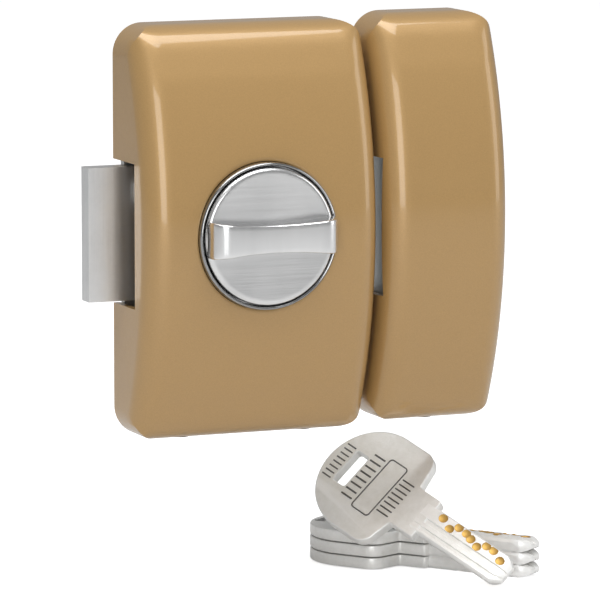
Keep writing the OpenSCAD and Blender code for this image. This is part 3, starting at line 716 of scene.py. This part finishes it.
WORKS = [
    ("bolt", "bolt_bar", "steel", 0.00018), ("bolt_rack", "bolt_bar", "steel", 0.00006),
    ("rack_rivets", "bolt_bar", "zinc", 0.0001), ("backplate", "lock_case", "zinc", 0.00012),
    ("keeper_plate", "lock_case", "zinc", 0.00012), ("upper_guide", "lock_case", "zinc", 0.0001),
    ("lower_guides", "lock_case", "zinc", 0.0001), ("guide_rivets", "lock_case", "zinc", 0.0002),
    ("drive_pinion", "turn", "brass", 0.00005), ("hub_bush", "lock_case", "brass", 0.0001),
    ("spindle", "turn", "steel", 0.00012), ("turn_circlip", "turn", "spring", 0.0001),
    ("detent_spring", "lock_case", "spring", 0.00005), ("detent_screw", "lock_case", "zinc", 0.00012),
    ("cover_screws", "lock_case", "painted_shade_nickel", 0.0002), ("cylinder_screws", "lock_case", "zinc", 0.00012),
    ("cylinder_body", "lock_case", "brass", 0.00015), ("cylinder_plug", "plug", "satin", 0.00012),
    ("key_pins", "plug", "brass", 0.00008), ("driver_pins", "lock_case", "steel", 0.00008),
    ("chamber_caps", "lock_case", "brass", 0.00008), ("plug_circlip", "plug", "spring", 0.0001),
    ("tail_bar", "plug", "steel", 0.0001), ("outside_ring", "lock_case", "satin", 0.00025),
    ("keeper_screw", "lock_case", "painted_shade_nickel", 0.0002),
]


class LOCK_OT_works(bpy.types.Operator):
    """Rounds the edges of the bolt, the plates, the gearing and the cylinder, and finishes them"""
    bl_idname = "lock.works"
    bl_label = "Finish The Works"

    def execute(self, context):
        f = finishes()
        for node, body, finish, width in WORKS:
            o = softened(node, body, f[finish], width)
        return {"FINISHED"}


def coil_tree():
    """Geometry nodes: a coil spring of round wire stood at each point of the chamber line."""
    tree = bpy.data.node_groups.new("Coil Springs", "GeometryNodeTree")
    face = tree.interface
    face.new_socket(name="Geometry", in_out="INPUT", socket_type="NodeSocketGeometry")
    for label, value in (("Coil Radius", 0.0012), ("Wire Radius", SPRING_WIRE), ("Length", 0.0035),
                         ("Pitch", 0.005)):
        face.new_socket(name=label, in_out="INPUT", socket_type="NodeSocketFloat").default_value = value
    for label, value in (("Turns", 6), ("Count", 5)):
        face.new_socket(name=label, in_out="INPUT", socket_type="NodeSocketInt").default_value = value
    face.new_socket(name="Start", in_out="INPUT", socket_type="NodeSocketVector")
    face.new_socket(name="Material", in_out="INPUT", socket_type="NodeSocketMaterial")
    face.new_socket(name="Geometry", in_out="OUTPUT", socket_type="NodeSocketGeometry")
    n, link = tree.nodes, tree.links.new
    gin, gout = n.new("NodeGroupInput"), n.new("NodeGroupOutput")
    spiral = n.new("GeometryNodeCurveSpiral")
    spiral.inputs["Resolution"].default_value = 20
    link(gin.outputs["Turns"], spiral.inputs["Rotations"])
    link(gin.outputs["Coil Radius"], spiral.inputs["Start Radius"])
    link(gin.outputs["Coil Radius"], spiral.inputs["End Radius"])
    link(gin.outputs["Length"], spiral.inputs["Height"])
    wire = n.new("GeometryNodeCurvePrimitiveCircle")
    wire.inputs["Resolution"].default_value = 8
    link(gin.outputs["Wire Radius"], wire.inputs["Radius"])
    sweep = n.new("GeometryNodeCurveToMesh")
    sweep.inputs["Fill Caps"].default_value = True
    link(spiral.outputs["Curve"], sweep.inputs["Curve"])
    link(wire.outputs["Curve"], sweep.inputs["Profile Curve"])
    row = n.new("GeometryNodeMeshLine")
    row.mode = "OFFSET"
    step = n.new("ShaderNodeCombineXYZ")
    link(gin.outputs["Pitch"], step.inputs["Y"])
    link(gin.outputs["Count"], row.inputs["Count"])
    link(gin.outputs["Start"], row.inputs["Start Location"])
    link(step.outputs[0], row.inputs["Offset"])
    copies = n.new("GeometryNodeInstanceOnPoints")
    link(row.outputs["Mesh"], copies.inputs["Points"])
    link(sweep.outputs["Mesh"], copies.inputs["Instance"])
    real = n.new("GeometryNodeRealizeInstances")
    link(copies.outputs["Instances"], real.inputs["Geometry"])
    shade = n.new("GeometryNodeSetShadeSmooth")
    link(real.outputs["Geometry"], shade.inputs["Geometry"])
    mat = n.new("GeometryNodeSetMaterial")
    link(shade.outputs["Geometry"], mat.inputs["Geometry"])
    link(gin.outputs["Material"], mat.inputs["Material"])
    link(mat.outputs["Geometry"], gout.inputs["Geometry"])
    return tree


def grown(name, tree, values):
    """A plain mesh made by a geometry nodes tree, with its inputs set by name."""
    o = make_object(name, bpy.data.meshes.new(name))
    mod = o.modifiers.new("Grow", "NODES")
    mod.node_group = tree
    ids = {i.name: i.identifier for i in tree.interface.items_tree
           if i.item_type == "SOCKET" and i.in_out == "INPUT"}
    for label, value in values.items():
        mod[ids[label]] = value
    bpy.context.view_layer.update()
    return baked(o)


class LOCK_OT_springs(bpy.types.Operator):
    """Winds the pin springs of the cylinder"""
    bl_idname = "lock.springs"
    bl_label = "Wind Pin Springs"

    def execute(self, context):
        low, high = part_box("pin_springs")
        r = (high[0] - low[0]) / 2
        pitch = ((high[1] - low[1]) - 2 * r) / (PIN_COUNT - 1)
        o = grown("pin_springs_piece", coil_tree(), {
            "Coil Radius": r - SPRING_WIRE, "Wire Radius": SPRING_WIRE, "Pitch": pitch,
            "Length": high[2] - low[2] - 2 * SPRING_WIRE - 2 * SPRING_SLACK,
            "Turns": SPRING_TURNS, "Count": PIN_COUNT,
            "Start": (0.0, low[1] + r, low[2] + SPRING_WIRE + SPRING_SLACK),
            "Material": finishes()["spring"]})
        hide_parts("pin_springs")
        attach(o, "lock_case")
        return {"FINISHED"}


# ---------------------------------------------------------------- keys

KEY_LONG, BOW_WIDE, KEY_THICK = 0.0585, 0.027, KEY_HIGH[2] - KEY_LOW[2]
NECK_START, NECK_END, NECK_HALF, BLADE_HALF = 0.0252, 0.0325, 0.0055, 0.0038
LIE_TURN = -53.8
LIE_START = (0.0326, 0.0254)
LEAN_START = (0.0326, 0.01735, -0.05857)
LEAN_TURN = (47.13, 21.44, -65.26)


def arc_points(cx, cy, r, a0, a1, n):
    return [(cx + r * math.cos(math.radians(a0 + (a1 - a0) * i / n)),
             cy + r * math.sin(math.radians(a0 + (a1 - a0) * i / n))) for i in range(n + 1)]


def bow_outline():
    r = BOW_WIDE / 2
    pts = arc_points(r, 0, r, 90, 270, 48)
    pts += arc_points(0.0205, -r + 0.004, 0.004, -90, -24, 10)
    pts += arc_points(NECK_START + 0.0009, -NECK_HALF - 0.0009, 0.0009, 156, 90, 5)
    pts += [(NECK_END - 0.0008, -NECK_HALF)]
    pts += arc_points(NECK_END - 0.0008, -NECK_HALF + 0.0008, 0.0008, -80, -10, 5)
    pts += arc_points(NECK_END - 0.0008, NECK_HALF - 0.0008, 0.0008, 10, 80, 5)
    pts += [(NECK_END - 0.0008, NECK_HALF)]
    pts += arc_points(NECK_START + 0.0009, NECK_HALF + 0.0009, 0.0009, 270, 204, 5)
    pts += arc_points(0.0205, r - 0.004, 0.004, 24, 90, 10)
    return pts


def plate_mesh(name, outlines, thick, round_edge):
    """A flat plate cut to outlines, the second and later ones being holes, with rounded edges."""
    curve = bpy.data.curves.new(name, "CURVE")
    curve.dimensions = "2D"
    curve.fill_mode = "BOTH"
    curve.extrude = thick / 2 - round_edge
    curve.bevel_depth = round_edge
    curve.bevel_resolution = 2
    curve.offset = -round_edge
    for pts in outlines:
        sp = curve.splines.new("POLY")
        sp.points.add(len(pts) - 1)
        for p, q in zip(sp.points, pts):
            p.co = (q[0], q[1], 0, 1)
        sp.use_cyclic_u = True
    o = bpy.data.objects.new(name, curve)
    bpy.context.scene.collection.objects.link(o)
    bpy.context.view_layer.update()
    deps = bpy.context.evaluated_depsgraph_get()
    mesh = bpy.data.meshes.new_from_object(o.evaluated_get(deps), depsgraph=deps)
    bpy.data.objects.remove(o)
    mesh.materials.clear()
    return mesh


def blade_mesh():
    t = KEY_THICK / 2
    face = [(BLADE_HALF, t * 0.55), (0.0034, t), (0.0004, t), (0.0002, t - 0.0005), (-0.0007, t - 0.0005),
            (-0.0009, t), (-0.0019, t), (-0.0021, t - 0.0004), (-0.0028, t - 0.0004), (-0.0030, t),
            (-0.0034, t), (-BLADE_HALF, t * 0.55)]
    ring = face + [(-v, -z) for v, z in face]
    stations = [(0.0300, 1.0, 1.0), (0.0310, 1.0, 1.0)]
    stations += [(0.031 + 0.0248 * i / 12, 1.0, 1.0) for i in range(1, 13)]
    stations += [(0.0565, 0.93, 0.94), (0.0573, 0.80, 0.80), (0.0580, 0.66, 0.60), (KEY_LONG, 0.56, 0.38)]
    loops = [[(x, v * kv, z * kz) for v, z in ring] for x, kv, kz in stations]
    return loft("Key Blade", loops, close_start=True, close_end=True)


def row_tree():
    """Geometry nodes: a row of small bars or pits, with a little seeded scatter across the row."""
    tree = bpy.data.node_groups.new("Row Of Marks", "GeometryNodeTree")
    face = tree.interface
    face.new_socket(name="Geometry", in_out="INPUT", socket_type="NodeSocketGeometry")
    for label in ("Size", "Start", "Step", "Scatter"):
        face.new_socket(name=label, in_out="INPUT", socket_type="NodeSocketVector")
    face.new_socket(name="Count", in_out="INPUT", socket_type="NodeSocketInt").default_value = 8
    face.new_socket(name="Seed", in_out="INPUT", socket_type="NodeSocketInt").default_value = 3
    face.new_socket(name="Round", in_out="INPUT", socket_type="NodeSocketBool").default_value = False
    face.new_socket(name="Material", in_out="INPUT", socket_type="NodeSocketMaterial")
    face.new_socket(name="Geometry", in_out="OUTPUT", socket_type="NodeSocketGeometry")
    n, link = tree.nodes, tree.links.new
    gin, gout = n.new("NodeGroupInput"), n.new("NodeGroupOutput")
    row = n.new("GeometryNodeMeshLine")
    row.mode = "OFFSET"
    link(gin.outputs["Count"], row.inputs["Count"])
    link(gin.outputs["Start"], row.inputs["Start Location"])
    link(gin.outputs["Step"], row.inputs["Offset"])
    spread = n.new("FunctionNodeRandomValue")
    spread.data_type = "FLOAT_VECTOR"
    spread.inputs["Min"].default_value = (-1, -1, -1)
    spread.inputs["Max"].default_value = (1, 1, 1)
    link(gin.outputs["Seed"], spread.inputs["Seed"])
    scaled = n.new("ShaderNodeVectorMath")
    scaled.operation = "MULTIPLY"
    link(spread.outputs["Value"], scaled.inputs[0])
    link(gin.outputs["Scatter"], scaled.inputs[1])
    moved = n.new("GeometryNodeSetPosition")
    link(row.outputs["Mesh"], moved.inputs["Geometry"])
    link(scaled.outputs[0], moved.inputs["Offset"])
    bar = n.new("GeometryNodeMeshCube")
    link(gin.outputs["Size"], bar.inputs["Size"])
    pit = n.new("GeometryNodeMeshUVSphere")
    pit.inputs["Segments"].default_value = 14
    pit.inputs["Rings"].default_value = 8
    pit.inputs["Radius"].default_value = 0.5
    shaped = n.new("GeometryNodeTransform")
    link(pit.outputs["Mesh"], shaped.inputs["Geometry"])
    link(gin.outputs["Size"], shaped.inputs["Scale"])
    pick = n.new("GeometryNodeSwitch")
    pick.input_type = "GEOMETRY"
    link(gin.outputs["Round"], pick.inputs["Switch"])
    link(bar.outputs["Mesh"], pick.inputs["False"])
    link(shaped.outputs["Geometry"], pick.inputs["True"])
    copies = n.new("GeometryNodeInstanceOnPoints")
    link(moved.outputs["Geometry"], copies.inputs["Points"])
    link(pick.outputs["Output"], copies.inputs["Instance"])
    real = n.new("GeometryNodeRealizeInstances")
    link(copies.outputs["Instances"], real.inputs["Geometry"])
    mat = n.new("GeometryNodeSetMaterial")
    link(real.outputs["Geometry"], mat.inputs["Geometry"])
    link(gin.outputs["Material"], mat.inputs["Material"])
    link(mat.outputs["Geometry"], gout.inputs["Geometry"])
    return tree


def rounded_outline(x0, x1, half, r):
    pts = arc_points(x1 - r, half - r, r, 0, 90, 5) + arc_points(x0 + r, half - r, r, 90, 180, 5)
    return pts + arc_points(x0 + r, -half + r, r, 180, 270, 5) + arc_points(x1 - r, -half + r, r, 270, 360, 5)


def key_piece(settings):
    """One key at the origin, its bow's end at 0 and its blade along +X, centred on its thickness."""
    f = finishes()
    relief = 0.00013
    t = KEY_THICK
    slot = rounded_outline(0.0053, 0.0090, 0.0045, 0.0006)
    bow = make_object("Bow", plate_mesh("Bow", [bow_outline(), slot[::-1]], t - 2 * relief, 0.0003), f["key"])
    blade = make_object("Blade", blade_mesh(), f["key"])
    marks = row_tree()
    pits = [grown("Pits", marks, {"Size": (0.0026, 0.0022, 0.0006),
                                  "Start": (0.0365, side * 0.0019, side * t / 2),
                                  "Step": (0.0023, 0.0, 0.0), "Scatter": (0.0007, 0.0009, 0.0001),
                                  "Count": settings.dimples, "Seed": 7 + side, "Round": True,
                                  "Material": f["gilt"]}) for side in (1, -1)]
    for p in pits:
        mod = blade.modifiers.new("Pits", "BOOLEAN")
        mod.operation = "DIFFERENCE"
        mod.solver = "EXACT"
        mod.object = p
        mod.material_mode = "TRANSFER"
        mod.use_self = True
    bpy.context.view_layer.update()
    baked(blade)
    for p in pits:
        bpy.data.objects.remove(p)
    bits = [bow, blade]
    line = 0.00028
    for side in (1, -1):
        z = side * (t / 2 - relief)
        for x0, x1, half in ((0.0019, 0.0046, 0.0046), (0.0097, 0.0131, 0.0060), (0.0203, 0.0240, 0.0047)):
            step = 2 * half / (settings.ribs - 1)
            bits.append(grown("Ribs", marks, {
                "Size": (x1 - x0, step * 0.24, 2 * relief - 0.00002), "Start": ((x0 + x1) / 2, -half, z),
                "Step": (0.0, step, 0.0), "Scatter": (0.0, 0.0, 0.0), "Count": settings.ribs, "Seed": 1,
                "Round": False, "Material": f["dark"]}))
        inner = rounded_outline(0.0139 + line, 0.0197 - line, 0.0075 - line, 0.0007)
        frame_mesh = plate_mesh("Panel", [rounded_outline(0.0139, 0.0197, 0.0075, 0.0009), inner[::-1]],
                                2 * relief - 0.00002, 0.00003)
        frame_mesh.transform(Matrix.Translation((0, 0, z)))
        bits.append(make_object("Panel", frame_mesh, f["dark"]))
    bm = bmesh.new()
    mats = [f["key"], f["gilt"], f["dark"]]
    order = {m.name: k for k, m in enumerate(mats)}
    for b in bits:
        start = len(bm.faces)
        bm.from_mesh(b.data)
        bm.faces.ensure_lookup_table()
        names = [m.name if m else "" for m in b.data.materials]
        for face in bm.faces[start:]:
            label = names[face.material_index] if face.material_index < len(names) else ""
            face.material_index = order.get(label, 0)
        bpy.data.objects.remove(b)
    mesh = bpy.data.meshes.new("Key")
    bm.to_mesh(mesh)
    bm.free()
    for m in mats:
        mesh.materials.append(m)
    return mesh


class LOCK_OT_keys(bpy.types.Operator):
    """Makes the four keys where they lie"""
    bl_idname = "lock.keys"
    bl_label = "Make Keys"

    def execute(self, context):
        s = context.scene.lock_keys
        plain = key_piece(s)
        places = []
        for k in range(3):
            low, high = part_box("key_%d" % (k + 1))
            places.append(Matrix.Translation((*LIE_START, (low[2] + high[2]) / 2))
                          @ Matrix.Rotation(math.radians(LIE_TURN), 4, "Z"))
        lean = Euler([math.radians(a) for a in LEAN_TURN], "XYZ").to_matrix().to_4x4()
        places.append(Matrix.Translation(LEAN_START) @ lean)
        for k, place in enumerate(places):
            mesh = plain.copy()
            mesh.transform(place)
            o = make_object("key_%d_piece" % (k + 1), mesh)
            smooth(mesh, 30)
            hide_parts("key_%d" % (k + 1))
            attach(o, "loose_key_%d" % (k + 1))
        return {"FINISHED"}


# ---------------------------------------------------------------- stage

class LOCK_OT_stage(bpy.types.Operator):
    """Lays the pale floor and sets the lights and the camera"""
    bl_idname = "lock.stage"
    bl_label = "Set Stage"

    def area(self, name, place, aim, size, power, color=(1, 1, 1)):
        light = bpy.data.lights.new(name, "AREA")
        light.shape = "RECTANGLE"
        light.size, light.size_y = size
        light.energy = power
        light.color = color
        o = bpy.data.objects.new(name, light)
        o.location = place
        o.rotation_euler = (Vector(aim) - Vector(place)).to_track_quat("-Z", "Y").to_euler()
        bpy.context.scene.collection.objects.link(o)
        return o

    def execute(self, context):
        s = context.scene.lock_stage
        floor_z = min(CAD_BOX[0][2], KEY_LOW[2]) - 0.0001
        bm = bmesh.new()
        bmesh.ops.create_grid(bm, x_segments=8, y_segments=8, size=6)
        for v in bm.verts:
            v.co.z = floor_z
        mesh = bpy.data.meshes.new("Floor")
        bm.to_mesh(mesh)
        bm.free()
        m, b = fresh_material("Pale Floor", tuple(s.floor), 0.0, 0.75)
        b.inputs["Specular IOR Level"].default_value = 0.1
        t = m.node_tree
        seen = t.nodes.new("ShaderNodeLightPath")
        t.links.new(math_node(t, "MULTIPLY", seen.outputs["Is Camera Ray"], s.floor_lift),
                    b.inputs["Emission Strength"])
        b.inputs["Emission Color"].default_value = (1, 1, 1, 1)
        make_object("floor", mesh, m)
        world = bpy.data.worlds.new("Studio") if context.scene.world is None else context.scene.world
        context.scene.world = world
        world.use_nodes = True
        back = world.node_tree.nodes["Background"]
        back.inputs["Color"].default_value = (1, 1, 1, 1)
        t = world.node_tree
        seen = t.nodes.new("ShaderNodeLightPath")
        lift = math_node(t, "MULTIPLY", seen.outputs["Is Camera Ray"], 1.0 - s.world)
        t.links.new(math_node(t, "ADD", lift, s.world), back.inputs["Strength"])
        self.area("Top Softbox", (-0.10, -0.30, 1.10), (0, 0, 0), (1.2, 0.7), s.top)
        self.area("Front Softbox", (-0.75, -1.45, 0.25), (0, 0, 0), (0.7, 1.1), s.front)
        self.area("Right Softbox", (1.2, -0.5, 0.35), (0, 0, 0), (0.5, 1.0), s.right)
        cam = bpy.data.cameras.new("Camera")
        cam.lens = s.lens
        cam.sensor_width = 36
        cam.clip_start = 0.05
        cam.clip_end = 50
        o = bpy.data.objects.new("Camera", cam)
        o.location = CAMERA_PLACE
        o.rotation_euler = (Vector(CAMERA_AIM) - o.location).to_track_quat("-Z", "Y").to_euler()
        context.scene.collection.objects.link(o)
        context.scene.camera = o
        context.scene.view_settings.view_transform = "Standard"
        return {"FINISHED"}


class LOCK_PT_panel(bpy.types.Panel):
    """The lock's pieces and their settings"""
    bl_label = "Rim Lock"
    bl_idname = "LOCK_PT_panel"
    bl_space_type = "VIEW_3D"
    bl_region_type = "UI"
    bl_category = "Rim Lock"

    def draw(self, context):
        col = self.layout.column()
        s = context.scene
        for group in (s.lock_cover, s.lock_turn, s.lock_keys, s.lock_stage):
            for name in group.__annotations__:
                col.prop(group, name)
        for op in OPERATORS:
            col.operator(op.bl_idname)


SETTINGS = [("lock_cover", CoverSettings), ("lock_turn", TurnSettings), ("lock_keys", KeySettings),
            ("lock_stage", StageSettings)]
OPERATORS = [LOCK_OT_covers, LOCK_OT_turn, LOCK_OT_works, LOCK_OT_springs, LOCK_OT_keys, LOCK_OT_stage]


def register():
    for name, group in SETTINGS:
        bpy.utils.register_class(group)
        setattr(bpy.types.Scene, name, bpy.props.PointerProperty(type=group))
    for c in OPERATORS + [LOCK_PT_panel]:
        bpy.utils.register_class(c)


def unregister():
    for c in [LOCK_PT_panel] + OPERATORS[::-1]:
        bpy.utils.unregister_class(c)
    for name, group in SETTINGS[::-1]:
        delattr(bpy.types.Scene, name)
        bpy.utils.unregister_class(group)


def main():
    register()
    for op in OPERATORS:
        group, name = op.bl_idname.split(".")
        getattr(getattr(bpy.ops, group), name)()


if __name__ == "__main__":
    main()
